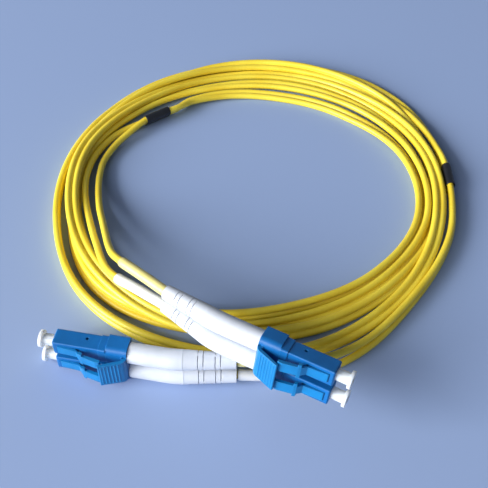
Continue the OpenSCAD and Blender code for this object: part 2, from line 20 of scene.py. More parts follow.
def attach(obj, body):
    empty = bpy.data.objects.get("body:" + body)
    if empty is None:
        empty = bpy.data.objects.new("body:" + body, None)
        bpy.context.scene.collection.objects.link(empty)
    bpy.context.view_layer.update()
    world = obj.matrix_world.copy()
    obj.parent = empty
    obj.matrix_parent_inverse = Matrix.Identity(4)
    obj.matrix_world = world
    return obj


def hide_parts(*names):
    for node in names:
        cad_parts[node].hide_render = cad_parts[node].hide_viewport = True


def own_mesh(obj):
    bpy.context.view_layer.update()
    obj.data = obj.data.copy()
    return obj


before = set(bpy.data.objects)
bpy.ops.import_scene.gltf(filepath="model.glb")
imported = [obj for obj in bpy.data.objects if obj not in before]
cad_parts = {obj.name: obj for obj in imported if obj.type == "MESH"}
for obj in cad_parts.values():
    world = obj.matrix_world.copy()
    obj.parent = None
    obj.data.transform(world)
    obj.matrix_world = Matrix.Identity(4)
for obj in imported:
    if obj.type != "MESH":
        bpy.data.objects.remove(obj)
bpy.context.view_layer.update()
LOG = logging.getLogger("patch_cord")
ROOT = "cord_set"
MM = 0.001
EPSILON = 1e-9
# The coil's middle on the floor, in millimetres
COIL_MIDDLE = (13.94, 67.97)
# Most of a noise's grey values lie between these
NOISE_SPAN = (0.35, 0.65)
# Cosine of the lean between an edge's rounded normal and its face, where the painted
# edge highlight starts and where it is full
EDGE_LEAN = (0.995, 0.8)
# Most of the colour that the painted edge highlight takes at a sharp edge
EDGE_HIGHLIGHT_SHARE = 0.6
LEAST_ROUGHNESS = 0.04
# A wave pattern of scale one repeats after this length
WAVE_REPEAT = 0.314
# Points of a band this near, in metres, are on its axis or on one of its cuts
NEAR_AXIS = 1e-6
NEAR_CUT = 1e-5
# A face whose normal has more of z than this is an end of an upright band
END_FACE = 0.9


# ---------------------------------------------------------------- colours and nodes
def linear(colour: str) -> tuple[float, float, float, float]:
    """Turns an sRGB hex colour into the linear values that a node takes.

    Args:
        colour: Six hex digits with a leading #.

    Returns:
        Red, green, blue and an alpha of one.
    """
    parts = [int(colour[i : i + 2], 16) / 255 for i in (1, 3, 5)]
    flat = [c / 12.92 if c <= 0.04045 else ((c + 0.055) / 1.055) ** 2.4 for c in parts]
    return (*flat, 1.0)


def add_node(
    tree: bpy.types.NodeTree,
    kind: str,
    values: dict | None = None,
    links: dict | None = None,
    **settings: object,
) -> bpy.types.Node:
    """Adds one node with its settings, socket values and incoming links.

    Args:
        tree: The material's node tree.
        kind: The node's type name.
        values: Socket name or number to value.
        links: Socket name or number to the output socket that feeds it.
        settings: Properties of the node itself.

    Returns:
        The new node.
    """
    node = tree.nodes.new(kind)
    for name, value in settings.items():
        setattr(node, name, value)
    for name, value in (values or {}).items():
        node.inputs[name].default_value = value
    for name, source in (links or {}).items():
        tree.links.new(source, node.inputs[name])
    return node


class Pattern(Enum):
    """What a surface pattern follows."""

    OBJECT = "Object"
    SURFACE = "UV"


@dataclass(frozen=True)
class Finish:
    """A surface as it comes from the mould, the extruder or the plating bath.

    Sizes are in millimetres. The colour drifts between tone and shade over mottle,
    the gloss over the same patches, and grain is the fine texture that the bump shows.
    """

    name: str
    tone: str
    shade: str
    gloss: float
    spread: float
    mottle: float
    grain: float
    depth: float
    metallic: float = 0.0
    ior: float = 1.5
    edge: float = 0.0
    painted_highlight_tone: str = ""
    soft: float = 0.0
    soft_radius: float = 1.0
    clear: float = 0.0
    coat: float = 0.0
    pattern: Pattern = Pattern.OBJECT

    def patches(
        self, tree: bpy.types.NodeTree, size: float, detail: float = 2.0
    ) -> bpy.types.NodeSocket:
        """Gives a grey pattern whose patches are about size millimetres across.

        Args:
            tree: The material's node tree.
            size: Patch size in millimetres.
            detail: Octaves of finer noise.

        Returns:
            The pattern's grey output.
        """
        unit = 1 / MM if self.pattern is Pattern.OBJECT else 1.0
        place = add_node(tree, "ShaderNodeTexCoord").outputs[self.pattern.value]
        return add_node(
            tree,
            "ShaderNodeTexNoise",
            {"Scale": unit / size, "Detail": detail},
            {"Vector": place},
        ).outputs[0]

    def colour(
        self, tree: bpy.types.NodeTree, rounded: bpy.types.NodeSocket | None
    ) -> bpy.types.NodeSocket:
        """Mixes tone and shade over the mottle, with a painted highlight on the edges.

        Args:
            tree: The material's node tree.
            rounded: The rounded normal, or None.

        Returns:
            The colour output.
        """
        spread = add_node(
            tree,
            "ShaderNodeMapRange",
            {"From Min": NOISE_SPAN[0], "From Max": NOISE_SPAN[1]},
            {"Value": self.patches(tree, self.mottle)},
        )
        mix = add_node(
            tree,
            "ShaderNodeMix",
            {6: linear(self.tone), 7: linear(self.shade)},
            {0: spread.outputs[0]},
            data_type="RGBA",
        )
        if rounded is None or not self.painted_highlight_tone:
            return mix.outputs[2]
        # A painted highlight along the edges, where the rounded normal leans away from
        # the face
        flat = add_node(tree, "ShaderNodeNewGeometry").outputs["Normal"]
        dot = add_node(
            tree,
            "ShaderNodeVectorMath",
            links={0: flat, 1: rounded},
            operation="DOT_PRODUCT",
        )
        edge_highlight = add_node(
            tree,
            "ShaderNodeMapRange",
            {
                "From Min": EDGE_LEAN[0],
                "From Max": EDGE_LEAN[1],
                "To Max": EDGE_HIGHLIGHT_SHARE,
            },
            {"Value": dot.outputs["Value"]},
        )
        pale = add_node(
            tree,
            "ShaderNodeMix",
            {7: linear(self.painted_highlight_tone)},
            {0: edge_highlight.outputs[0], 6: mix.outputs[2]},
            data_type="RGBA",
        )
        return pale.outputs[2]

    def relief(self, tree: bpy.types.NodeTree) -> bpy.types.NodeSocket:
        """Gives the height that the bump follows."""
        return self.patches(tree, self.grain, 3.0)

    def material(self) -> bpy.types.Material:
        """Builds the material.

        Returns:
            The finished material.
        """
        made = bpy.data.materials.new(self.name)
        made.use_nodes = True
        tree = made.node_tree
        tree.nodes.clear()
        rounded = None
        if self.edge:
            # The small radius that a mould leaves on every edge
            rounded = add_node(
                tree, "ShaderNodeBevel", {"Radius": self.edge * MM}, samples=4
            ).outputs[0]
        rough = add_node(
            tree,
            "ShaderNodeMapRange",
            {
                "To Min": max(LEAST_ROUGHNESS, self.gloss - self.spread),
                "To Max": self.gloss + self.spread,
            },
            {"Value": self.patches(tree, self.mottle * 0.6, 4.0)},
        )
        links = {"Height": self.relief(tree)}
        if rounded is not None:
            links["Normal"] = rounded
        bump = add_node(
            tree,
            "ShaderNodeBump",
            {"Strength": 0.6, "Distance": self.depth * MM},
            links,
        )
        shader = add_node(
            tree,
            "ShaderNodeBsdfPrincipled",
            {
                "Metallic": self.metallic,
                "IOR": self.ior,
                "Subsurface Weight": self.soft,
                "Subsurface Radius": (1.0, 0.9, 0.8),
                "Subsurface Scale": self.soft_radius * MM,
                "Transmission Weight": self.clear,
                "Coat Weight": self.coat,
                "Coat Roughness": 0.12,
            },
            {
                "Base Color": self.colour(tree, rounded),
                "Roughness": rough.outputs[0],
                "Normal": bump.outputs[0],
            },
        )
        add_node(
            tree, "ShaderNodeOutputMaterial", links={"Surface": shader.outputs[0]}
        )
        return made


@dataclass(frozen=True)
class JacketFinish(Finish):
    """Extruded PVC over laid yarn, whose twist shows as a faint slanting ripple."""

    lay: float = 1.1
    slant: float = 24.0

    def relief(self, tree: bpy.types.NodeTree) -> bpy.types.NodeSocket:
        """Gives the yarn's slanting ripple with the extruder's fine grain on it."""
        place = add_node(tree, "ShaderNodeTexCoord").outputs[self.pattern.value]
        slanted = add_node(
            tree,
            "ShaderNodeMapping",
            {"Rotation": (0.0, 0.0, math.radians(self.slant))},
            {"Vector": place},
        )
        ripple = add_node(
            tree,
            "ShaderNodeTexWave",
            {"Scale": WAVE_REPEAT / self.lay, "Distortion": 1.2, "Detail": 1.0},
            {"Vector": slanted.outputs[0]},
        )
        return add_node(
            tree,
            "ShaderNodeMath",
            links={
                0: ripple.outputs["Fac"],
                1: self.patches(tree, self.grain, 3.0),
            },
            operation="ADD",
        ).outputs[0]


class Finishes:
    """Every finish of the cord, made once and shared."""

    def __init__(self) -> None:
        """Builds the materials."""
        # PBT moulded in a polished tool: even blue and a soft sheen, with a painted
        # highlight on its edges
        self.blue = Finish(
            "blue_pbt_moulded", "#0F69B0", "#0D60A2", gloss=0.36, spread=0.06,
            mottle=6.0, grain=0.12, depth=0.012, edge=0.16, painted_highlight_tone="#3C9EDC",
            soft=0.05,
        ).material()
        # The same resin on the thin arms, painted a lighter blue as painted light, with
        # a painted highlight on its edges
        self.blue_arm_painted_light = Finish(
            "blue_pbt_arm_painted_light", "#117CBC", "#0F73B0", gloss=0.34, spread=0.06,
            mottle=5.0, grain=0.12, depth=0.012, edge=0.12, painted_highlight_tone="#4AACE4",
            soft=0.1,
        ).material()
        # Ground and polished zirconia: creamy white, glassy, light sinks in a little
        self.zirconia = Finish(
            "zirconia_polished", "#F4F2EC", "#EBE8E0", gloss=0.16, spread=0.04,
            mottle=3.0, grain=0.05, depth=0.003, ior=2.1, soft=0.15, soft_radius=0.5,
        ).material()
        # Nickel plate on turned brass: warm grey metal, its shine a little uneven
        self.nickel = Finish(
            "nickel_plated_brass", "#CFCBC2", "#BDB8AD", gloss=0.28, spread=0.08,
            mottle=2.0, grain=0.1, depth=0.01, metallic=1.0, edge=0.05,
        ).material()
        # Drawn spring wire: bright grey metal with a fine grain
        self.steel = Finish(
            "spring_steel_wire", "#B9BBC0", "#9FA2A8", gloss=0.3, spread=0.08,
            mottle=1.0, grain=0.08, depth=0.008, metallic=1.0,
        ).material()
        # Thermoplastic rubber: matt white, soft edges, light sinks in
        self.boot = Finish(
            "white_tpe_boot", "#D6DBE4", "#CCD2DC", gloss=0.5, spread=0.07, mottle=5.0,
            grain=0.25, depth=0.02, edge=0.14, soft=0.25, soft_radius=0.8,
        ).material()
        # Soft polyethylene: milky and waxy, thin enough to glow
        self.cap = Finish(
            "milky_polyethylene_cap", "#E4EAEE", "#D8E0E6", gloss=0.34, spread=0.06,
            mottle=3.0, grain=0.2, depth=0.012, edge=0.1, soft=0.7, soft_radius=2.6,
            clear=0.08,
        ).material()
        # Pale yellow marker tube: soft vinyl that light sinks into
        self.pale_sleeve = Finish(
            "pale_yellow_vinyl_sleeve", "#EADF98", "#E2D484", gloss=0.36, spread=0.07,
            mottle=4.0, grain=0.3, depth=0.02, soft=0.3, soft_radius=0.8,
        ).material()
        # White marker tube: the same vinyl
        self.white_sleeve = Finish(
            "white_vinyl_sleeve", "#E6E8EA", "#DADEE2", gloss=0.36, spread=0.07,
            mottle=4.0, grain=0.3, depth=0.02, soft=0.3, soft_radius=0.8,
        ).material()
        # Yellow PVC jacket: satin, with the yarn's lay showing through
        self.jacket = JacketFinish(
            "yellow_pvc_jacket", "#F6DF48", "#EDD038", gloss=0.36, spread=0.06,
            mottle=14.0, grain=0.35, depth=0.03, soft=0.12, soft_radius=0.6,
            pattern=Pattern.SURFACE,
        ).material()
        # Cross-linked shrink tube: deep black with a dull shine and fine wrinkles
        self.band = Finish(
            "black_polyolefin_shrink", "#15161B", "#0E0F13", gloss=0.42, spread=0.1,
            mottle=2.0, grain=0.5, depth=0.05, coat=0.1,
        ).material()


# ---------------------------------------------------------------- mesh helpers
def start_clean() -> None:
    """Deselects everything, because the frame's nodes arrive selected."""
    if bpy.context.object and bpy.context.object.mode != "OBJECT":
        bpy.ops.object.mode_set(mode="OBJECT")
    bpy.ops.object.select_all(action="DESELECT")


def smooth(made: bpy.types.Object, degrees: float) -> None:
    """Shades a piece smooth apart from edges sharper than an angle.

    Args:
        made: The piece.
        degrees: The angle from which an edge stays sharp.
    """
    start_clean()
    made.select_set(True)
    bpy.context.view_layer.objects.active = made
    bpy.ops.object.shade_smooth_by_angle(angle=math.radians(degrees))


def skinned(
    name: str,
    points: np.ndarray,
    faces: list[tuple[int, ...]],
    finish: bpy.types.Material,
    uvs: list[tuple[float, float]] | None = None,
) -> bpy.types.Object:
    """Makes a piece of a closed surface, with its faces turned outwards.

    Args:
        name: Object name.
        points: The surface's points, in millimetres.
        faces: The points of each face.
        finish: The piece's material.
        uvs: A place on the pattern for each corner of each face, in millimetres.

    Returns:
        The new object, at the origin.
    """
    mesh = bpy.data.meshes.new(name)
    mesh.from_pydata([tuple(p * MM) for p in points], [], faces)
    if uvs:
        layer = mesh.uv_layers.new(name="UVMap")
        layer.data.foreach_set("uv", np.array(uvs, np.float32).ravel())
    form = bmesh.new()
    form.from_mesh(mesh)
    bmesh.ops.recalc_face_normals(form, faces=form.faces)
    form.to_mesh(mesh)
    form.free()
    made = bpy.data.objects.new(name, mesh)
    bpy.context.scene.collection.objects.link(made)
    mesh.materials.append(finish)
    return made


def swept(
    name: str,
    rings: np.ndarray,
    along: np.ndarray,
    around: np.ndarray,
    finish: bpy.types.Material,
) -> bpy.types.Object:
    """Skins a closed tube over rings of points, with a UV map in millimetres.

    Args:
        name: Object name.
        rings: Points, ring by ring, in millimetres.
        along: Distance of each ring along the cord, in millimetres.
        around: Distance of each ring point round the section, with the full turn last.
        finish: The tube's material.

    Returns:
        The new object, at the origin.
    """
    count, size = rings.shape[:2]
    ends = np.array([rings[0].mean(0), rings[-1].mean(0)])
    points = np.concatenate([rings.reshape(-1, 3), ends])
    faces, uvs = [], []
    for i in range(count - 1):
        for k in range(size):
            j = (k + 1) % size
            a, b = i * size, (i + 1) * size
            faces.append((a + k, b + k, b + j, a + j))
            u0, u1, v0, v1 = along[i], along[i + 1], around[k], around[k + 1]
            uvs += [(u0, v0), (u1, v0), (u1, v1), (u0, v1)]
    last = (count - 1) * size
    for k in range(size):
        j = (k + 1) % size
        faces.append((count * size, k, j))
        faces.append((count * size + 1, last + j, last + k))
        uvs += [(along[0], around[k])] * 3 + [(along[-1], around[k])] * 3
    made = skinned(name, points, faces, finish, uvs)
    for face in made.data.polygons:
        face.use_smooth = len(face.vertices) == 4
    return made


def through(points: np.ndarray, steps: int) -> np.ndarray:
    """Runs a smooth curve through given points.

    Args:
        points: The points, in millimetres.
        steps: Pieces per span.

    Returns:
        The curve's points, both ends included.
    """
    out = []
    for i in range(len(points) - 1):
        a, b = points[max(i - 1, 0)], points[i]
        c, d = points[i + 1], points[min(i + 2, len(points) - 1)]
        for k in range(steps):
            t = k / steps
            out.append(
                0.5
                * (
                    2 * b
                    + (c - a) * t
                    + (2 * a - 5 * b + 4 * c - d) * t * t
                    + (3 * b - a - 3 * c + d) * t**3
                )
            )
    return np.array(out + [points[-1]])


def blended(at: np.ndarray, values: np.ndarray, wanted: np.ndarray) -> np.ndarray:
    """Runs a smooth curve through values at uneven places.

    Args:
        at: Rising places.
        values: The value at each place.
        wanted: Places where the curve is read.

    Returns:
        The curve's values.
    """
    slope = np.gradient(values, at)
    i = np.clip(np.searchsorted(at, wanted, side="right") - 1, 0, len(at) - 2)
    width = at[i + 1] - at[i]
    t = (wanted - at[i]) / width
    return (
        (2 * t**3 - 3 * t**2 + 1) * values[i]
        + (t**3 - 2 * t**2 + t) * width * slope[i]
        + (3 * t**2 - 2 * t**3) * values[i + 1]
        + (t**3 - t**2) * width * slope[i + 1]
    )


def relaxed(line: np.ndarray) -> np.ndarray:
    """Takes small kinks out of a line without moving its ends."""
    line = line.copy()
    for _ in range(2):
        line[1:-1] = 0.5 * line[1:-1] + 0.25 * (line[:-2] + line[2:])
    return line


def frames(path: np.ndarray) -> tuple[np.ndarray, np.ndarray, np.ndarray]:
    """Gives the heading, the level sideways direction and the upward one along a path.

    Args:
        path: Centre points.

    Returns:
        Three arrays of unit vectors.
    """
    heading = np.gradient(path, axis=0)
    heading /= np.linalg.norm(heading, axis=1)[:, None]
    side = np.cross(heading, (0.0, 0.0, 1.0))
    side /= np.linalg.norm(side, axis=1)[:, None]
    return heading, side, np.cross(side, heading)


def placed(
    path: np.ndarray, across: np.ndarray, over: np.ndarray, section: np.ndarray
) -> np.ndarray:
    """Places a flat section at every point of a path.

    Args:
        path: Centre points.
        across: The section's first direction at each point.
        over: Its second direction at each point.
        section: The section's points, one set for all or one set for each point.

    Returns:
        The points, ring by ring.
    """
    return (
        path[:, None]
        + across[:, None] * section[..., :1]
        + over[:, None] * section[..., 1:]
    )


def eased(share: np.ndarray) -> np.ndarray:
    """Turns a straight rise from nought to one into one with soft ends."""
    return share * share * (3 - 2 * share)


def round_coil(headings: np.ndarray, radius: np.ndarray) -> np.ndarray:
    """Gives the length of coil up to each ring, from headings in degrees."""
    steps = np.radians(np.abs(np.diff(headings))) * radius[1:]
    return np.concatenate([[0.0], np.cumsum(steps)])


def distances(path: np.ndarray) -> np.ndarray:
    """Gives the distance of each point from the path's start."""
    steps = np.linalg.norm(np.diff(path, axis=0), axis=1)
    return np.concatenate([[0.0], np.cumsum(steps)])


# ---------------------------------------------------------------- the cords
@dataclass
class DuplexRun:
    """The zip cord between the two split bands, wound in a flat coil.

    The turns are laid clockwise round the coil's middle, then settled, so that the
    strands lie on the floor and on each other. A bank of 90 degrees stands the pair on
    edge with its outer strand low.
    """

    strand_r: float = 1.0
    pitch: float = 2.06
    web: float = 0.3
    first_heading: float = 134.3
    last_heading: float = -1438.0
    lane_step: float = 30.0
    # Radius gained per millimetre away from band a and from band b
    leave: tuple[float, float] = (-0.184, 0.035)
    # Length that runs straight out of a band, and length that eases into the lane
    straight: float = 5.0
    ease: float = 9.0
    # Rings along the cord, and rings to one turn
    rings: int = 787
    lap: int = 180
    # Length that a band holds still, and how near to a band, of its own or of a leg,
    # a strand keeps the wider room
    held: float = 5.0
    near_band: float = 6.0
    near_leg_band: float = 7.0
    # Room between the middles of two strands: turns, a turn and a leg, by a band
    turn_room: float = 2.05
    leg_room: float = 2.06
    band_room: float = 2.5
    # Rounds of settling, pushes a round, and what a strand yields to one push
    rounds: int = 400
    pushes: int = 2
    give: float = 0.3
    # Share of each shift in radius, height and bank that a round keeps, at first
    # and from the late rounds on
    early_hold: tuple[float, float, float] = (0.97, 0.99, 0.97)
    late_hold: tuple[float, float, float] = (0.99, 0.996, 0.992)
    late_from: float = 0.75
    # One row a turn: radius, height and bank at every lane step. Another program took
    # them from a trial route and rounded them to half a millimetre and ten degrees
    turns: tuple[tuple[tuple[float, float, float], ...], ...] = (
        (
            (42.4, 2.8, 53), (43.5, 1.5, 10), (43.5, 1, 0), (46, 1, 0), (50, 1.5, 40),
            (51.5, 2, 60), (49.5, 2, 70), (48, 2, 80), (50.5, 2, 70), (53, 2, 60),
            (51, 2, 80), (50.5, 2, 70),
        ),
        (
            (49, 2, 40), (48, 1.5, 20), (49, 1.5, 0), (51.5, 1, 10), (53, 2, 50),
            (54, 2, 70), (52.5, 1.5, 40), (52, 1.5, 40), (54.5, 2, 50), (57, 2, 60),
            (53.5, 2, 80), (53.5, 2, 90),
        ),
        (
            (53.5, 2.5, 90), (55.5, 3, 10), (58, 2.5, -30), (59.5, 1.5, -30),
            (57.5, 1, 0), (57, 1, 10), (55.5, 2, 50), (55.5, 2, 50), (56, 4, 20),
            (54.5, 5, 0), (52.5, 5, 0), (52, 5, 0),
        ),
        (
            (50.5, 3.5, 0), (52.5, 1.5, 10), (54.5, 1, 0), (55.5, 1.5, -20),
            (56.5, 3, -10), (57, 3.5, 10), (59, 2, 20), (61.5, 1.5, 20), (62, 2, 70),
            (61.5, 2, 90), (57.5, 2, 90), (56, 2, 80),
        ),
        (
            (56.5, 1.5, 40), (57.5, 1, 0), (60, 1, 0), (62.5, 1, 0), (61, 2, 70),
            (60.4, 2.4, 90),
        ),
    )

    def laid(self) -> tuple[np.ndarray, np.ndarray, np.ndarray]:
        """Lays the turns before they settle.

        Returns:
            The heading of each ring in degrees, the pair's middle there as radius and
            height, and the way from the middle to the outer strand.
        """
        lanes = np.array([stop for turn in self.turns for stop in turn], float)
        at = self.lane_step * np.arange(len(lanes))
        at[-1] = self.first_heading - self.last_heading
        run = np.linspace(0.0, at[-1], self.rings)
        radius, height, bank = (blended(at, lane, run) for lane in lanes.T)
        along = round_coil(run, radius)
        # The cord runs straight out of each band, then eases into its lane
        for end, left in ((0, along), (-1, along[-1] - along)):
            share = (self.straight + self.ease - left) / self.ease
            share = eased(np.clip(share, 0, 1))
            for value, slope in ((radius, self.leave[end]), (height, 0), (bank, 0)):
                value += share * (value[end] + slope * left - value)
        bank = np.radians(bank)
        out = np.stack([np.cos(bank), -np.sin(bank)], -1) * self.pitch / 2
        lowest = self.strand_r + np.abs(out[:, 1])
        lowest[[0, -1]] = height[[0, -1]]
        middle = np.stack([radius, np.maximum(height, lowest)], -1)
        return self.first_heading - run, middle, out

    def hurdles(
        self, heading: np.ndarray, lines: list[np.ndarray]
    ) -> list[tuple[np.ndarray, np.ndarray, np.ndarray]]:
        """Finds where other cords run round with the coil.

        Args:
            heading: The heading of each ring in degrees.
            lines: The other cords' centre lines, which end in a band.

        Returns:
            For each crossing, the rings it touches, its radius and height at each,
            and the room it needs there, which is wider where a band holds it.
        """
        found = []
        for line in lines:
            away = line[:, :2] - COIL_MIDDLE
            turn = np.degrees(np.unwrap(np.arctan2(away[:, 1], away[:, 0])))
            radius = np.hypot(away[:, 0], away[:, 1])
            to_band = np.linalg.norm(line - line[-1], axis=1)
            order = np.argsort(turn)
            lowest = math.floor((heading.min() - turn.max()) / 360)
            highest = math.ceil((heading.max() - turn.min()) / 360)
            for full in range(lowest, highest + 1):
                seen = heading - 360 * full
                rings = np.where((seen >= turn.min()) & (seen <= turn.max()))[0]
                if len(rings):
                    *place, left = [
                        np.interp(seen[rings], turn[order], value[order])
                        for value in (radius, line[:, 2], to_band)
                    ]
                    near = (left < self.near_leg_band)[:, None]
                    room = np.where(near, self.band_room, self.leg_room)
                    found.append((rings, np.stack(place, -1), room))
        return found

    def push_apart(self, pair: np.ndarray, room: np.ndarray) -> np.ndarray:
        """Moves strands of different turns away from each other.

        Args:
            pair: Radius and height of both strands at each ring.
            room: How far apart two strands are kept at each ring.

        Returns:
            How far each strand moves.
        """
        move = np.zeros_like(pair)
        hits = np.zeros(pair.shape[:2] + (1,))
        for skip in range(self.lap, self.rings, self.lap):
            keep = np.maximum(room[:-skip], room[skip:])
            for a, b in ((0, 0), (0, 1), (1, 0), (1, 1)):
                apart = pair[a, :-skip] - pair[b, skip:]
                gap = np.hypot(apart[:, 0], apart[:, 1]) + EPSILON
                push = (np.maximum(0, keep - gap) / gap * self.give)[:, None] * apart
                move[a, :-skip] += push
                move[b, skip:] -= push
                hits[a, :-skip] += (gap < keep)[:, None]
                hits[b, skip:] += (gap < keep)[:, None]
        # A strand that is pushed from several sides shares the pushes out
        return move / np.maximum(1, hits / 2)

    def settle(
        self, lines: list[np.ndarray]
    ) -> tuple[np.ndarray, np.ndarray, np.ndarray]:
        """Lets the turns push each other apart and lie on the floor.

        Args:
            lines: Centre lines of the other cords, which stay where they are.

        Returns:
            The heading of each ring in degrees, the pair's middle there as radius and
            height, and the way from the middle to the outer strand.
        """
        heading, laid, out = self.laid()
        along = round_coil(heading, laid[:, 0])
        to_band = np.minimum(along, along[-1] - along)
        free = to_band > self.held
        room = np.where(to_band < self.near_band, self.band_room, self.turn_room)
        hurdles = self.hurdles(heading, lines)
        middle, way = laid.copy(), out.copy()
        for done in range(self.rounds):
            late = done > self.late_from * self.rounds
            *hold, bank_hold = self.late_hold if late else self.early_hold
            shift = relaxed(middle - laid) * hold
            twist = relaxed(way - out) * bank_hold
            middle[free] = (laid + shift)[free]
            way[free] = self.spread(out + twist)[free]
            for _ in range(self.pushes):
                pair = np.stack([middle - way, middle + way])
                pair += self.push_apart(pair, room)
                for rings, place, clear in hurdles:
                    apart = pair[:, rings] - place
                    gap = np.hypot(apart[..., 0], apart[..., 1])[..., None] + EPSILON
                    pair[:, rings] += apart / gap * np.maximum(0, clear - gap)
                pair[..., 1] = np.maximum(pair[..., 1], self.strand_r)
                middle[free] = pair.mean(0)[free]
                way[free] = self.spread(pair[1] - pair[0])[free]
        return heading, middle, way

    def spread(self, way: np.ndarray) -> np.ndarray:
        """Gives each way from the middle to the outer strand its right length."""
        return way / np.hypot(way[:, 0], way[:, 1])[:, None] * self.pitch / 2

    def path(self, lines: list[np.ndarray]) -> tuple[np.ndarray, np.ndarray]:
        """Turns the settled rings into centre points and banks.

        Args:
            lines: Centre lines of the other cords.

        Returns:
            The centre line in millimetres, and the bank at each point in radians.
        """
        heading, middle, way = self.settle(lines)
        a = np.radians(heading)
        x = COIL_MIDDLE[0] + middle[:, 0] * np.cos(a)
        y = COIL_MIDDLE[1] + middle[:, 0] * np.sin(a)
        bank = np.unwrap(np.arctan2(-way[:, 1], way[:, 0]))
        return np.stack([x, y, middle[:, 1]], -1), bank

    def section(self, open_from: int = 154, facet: int = 22) -> np.ndarray:
        """Gives the figure-eight section of two jackets and the web between them.

        Args:
            open_from: Degrees from the outside at which a jacket meets the web.
            facet: Degrees between two points of a jacket.

        Returns:
            The section's points in order.
        """
        half = []
        for degrees in range(-open_from, open_from + 1, facet):
            t = math.radians(degrees)
            x = self.pitch / 2 + self.strand_r * math.cos(t)
            half.append((x, self.strand_r * math.sin(t)))
        half.append((0.0, self.web))
        other = [(-x, -y) for x, y in half]
        return np.array(half + other)

    def build(
        self, finish: bpy.types.Material, lines: list[np.ndarray]
    ) -> bpy.types.Object:
        """Args:
            finish: The jacket's material.
            lines: Centre lines of the other cords, which the coil clears.

        Returns:
            The cord.
        """
        path, bank = self.path(lines)
        _, side, up = frames(path)
        wide = side * np.cos(bank)[:, None] + up * np.sin(bank)[:, None]
        thin = up * np.cos(bank)[:, None] - side * np.sin(bank)[:, None]
        section = self.section()
        rings = placed(path, wide, thin, section)
        around = distances(np.vstack([section, section[:1]]))
        along = distances(path)
        cord = swept("duplex_cord", rings, along, around, finish)
        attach(cord, ROOT)
        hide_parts("coil", "cord_lead_a", "cord_lead_b")
        LOG.info("duplex cord: %.0f mm", along[-1])
        return cord


@dataclass
class Leg:
    """One jacketed fibre from its boot to the split band, with its marker sleeve."""

    end: str
    number: int
    points: tuple[tuple[float, float, float], ...]
    sleeve_finish: str
    radius: float = 1.0
    sleeve_r: float = 1.4
    sleeve_bore: float = 1.05
    sleeve_lip: float = 0.12
    sleeve_gap: float = 0.2
    # The points that the sleeve runs between
    sleeve_from: int = 4
    sleeve_to: int = 7
    sides: int = 20
    steps: int = 8

    def ring(self, radius: float | np.ndarray) -> np.ndarray:
        """Gives a round section, or one for each radius."""
        t = np.linspace(0, 2 * np.pi, self.sides, endpoint=False)
        return np.stack([np.cos(t), np.sin(t)], -1) * radius

    def line(self) -> np.ndarray:
        """Gives the leg's centre line in millimetres."""
        return through(np.array(self.points, float), self.steps)

    def build(self, finish: bpy.types.Material) -> bpy.types.Object:
        """Args:
            finish: The jacket's material.

        Returns:
            The leg.
        """
        path = self.line()
        _, side, up = frames(path)
        section = self.ring(self.radius)
        rings = placed(path, side, up, section)
        around = distances(np.vstack([section, section[:1]]))
        along = distances(path)
        name = f"leg_{self.end}_{self.number}"
        made = swept(f"jacket_{name}", rings, along, around, finish)
        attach(made, ROOT)
        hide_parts(name)
        LOG.info("%s: %.1f mm", name, along[-1])
        return made

    def build_sleeve(self, finish: bpy.types.Material) -> bpy.types.Object:
        """Builds the loose marker tube that rides against the boot's tail.

        Args:
            finish: The sleeve's material.

        Returns:
            The sleeve.
        """
        path = self.line()
        first = self.sleeve_from * self.steps
        last = self.sleeve_to * self.steps
        run = path[first : last + 1].copy()
        step = run[1] - run[0]
        run[0] += self.sleeve_gap * step / np.linalg.norm(step)
        _, side, up = frames(run)
        outer = np.full(len(run), self.sleeve_r)
        outer[[0, -1]] -= self.sleeve_lip
        skin = placed(run, side, up, self.ring(outer[:, None, None]))
        bore = placed(run, side, up, self.ring(self.sleeve_bore))
        rings = np.concatenate([skin, bore[::-1]])
        name = f"sleeve_{self.sleeve_finish}_{self.end}"
        made = closed_sleeve(f"marker_{name}", rings, finish)
        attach(made, ROOT)
        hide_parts(name)
        return made


def closed_sleeve(
    name: str, rings: np.ndarray, finish: bpy.types.Material
) -> bpy.types.Object:
    """Joins rings that run out along a tube and back through its bore.

    Args:
        name: Object name.
        rings: Rings of points in millimetres, outer ones first, then the bore's.
        finish: The tube's material.

    Returns:
        The hollow tube.
    """
    count, size = rings.shape[:2]
    faces = []
    for i in range(count):
        a, b = i * size, ((i + 1) % count) * size
        for k in range(size):
            j = (k + 1) % size
            faces.append((a + k, b + k, b + j, a + j))
    made = skinned(name, rings.reshape(-1, 3), faces, finish)
    smooth(made, 50)
    return made


